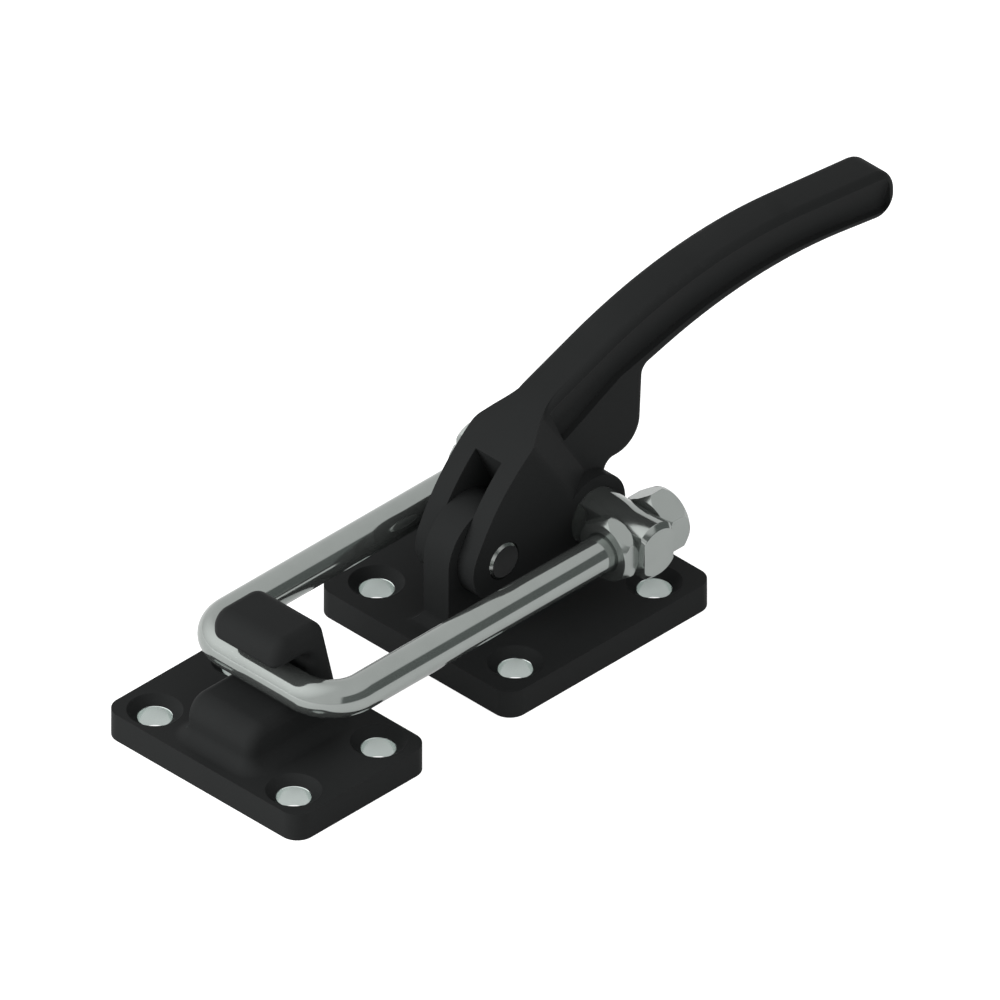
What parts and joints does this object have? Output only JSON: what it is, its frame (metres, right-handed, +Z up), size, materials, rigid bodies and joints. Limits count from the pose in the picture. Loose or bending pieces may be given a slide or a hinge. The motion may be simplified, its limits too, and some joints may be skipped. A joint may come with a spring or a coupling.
{
  "type": "latch toggle clamp",
  "caption": "Forged latch toggle clamp: a hand lever draws a U-bolt over centre into a hooked catch plate; both brackets screw down.",
  "frame": {"origin": "centre of the base bracket's four screw holes, on the face that rests on the work", "axes": "+X runs from the catch towards the lever's grip, +Z is up from the work, +Y completes the frame"},
  "size_m": [0.2447, 0.07, 0.0796],
  "materials": {
    "black_forging": "satin black coated forging",
    "dark_pin": "blackened steel",
    "bright_steel": "bright zinc plated steel"
  },
  "bodies": {
    "base": {"base_bracket": "black_forging", "catch_bracket": "black_forging"},
    "handle": {"lever": "black_forging", "pivot_pin": "dark_pin"},
    "latch": {"u_bolt": "bright_steel", "cross_pin": "bright_steel", "lock_nut_near": "bright_steel", "lock_nut_far": "bright_steel", "end_nut_near": "bright_steel", "end_nut_far": "bright_steel"}
  },
  "joints": [
    {"name": "handle_lift", "type": "hinge", "parent": "base", "child": "handle", "pos_m": [-0.0146, 0, 0.027], "axis": [0, -1, 0], "range_deg": [0, 100]},
    {"name": "latch_swing", "type": "hinge", "parent": "handle", "child": "latch", "pos_m": [0.0178, 0, 0.0252], "axis": [0, -1, 0], "range_deg": [-76, 0]}
  ],
  "couplings": [
    {"joint": "latch_swing", "follows": "handle_lift", "ratio": -0.76}
  ]
}
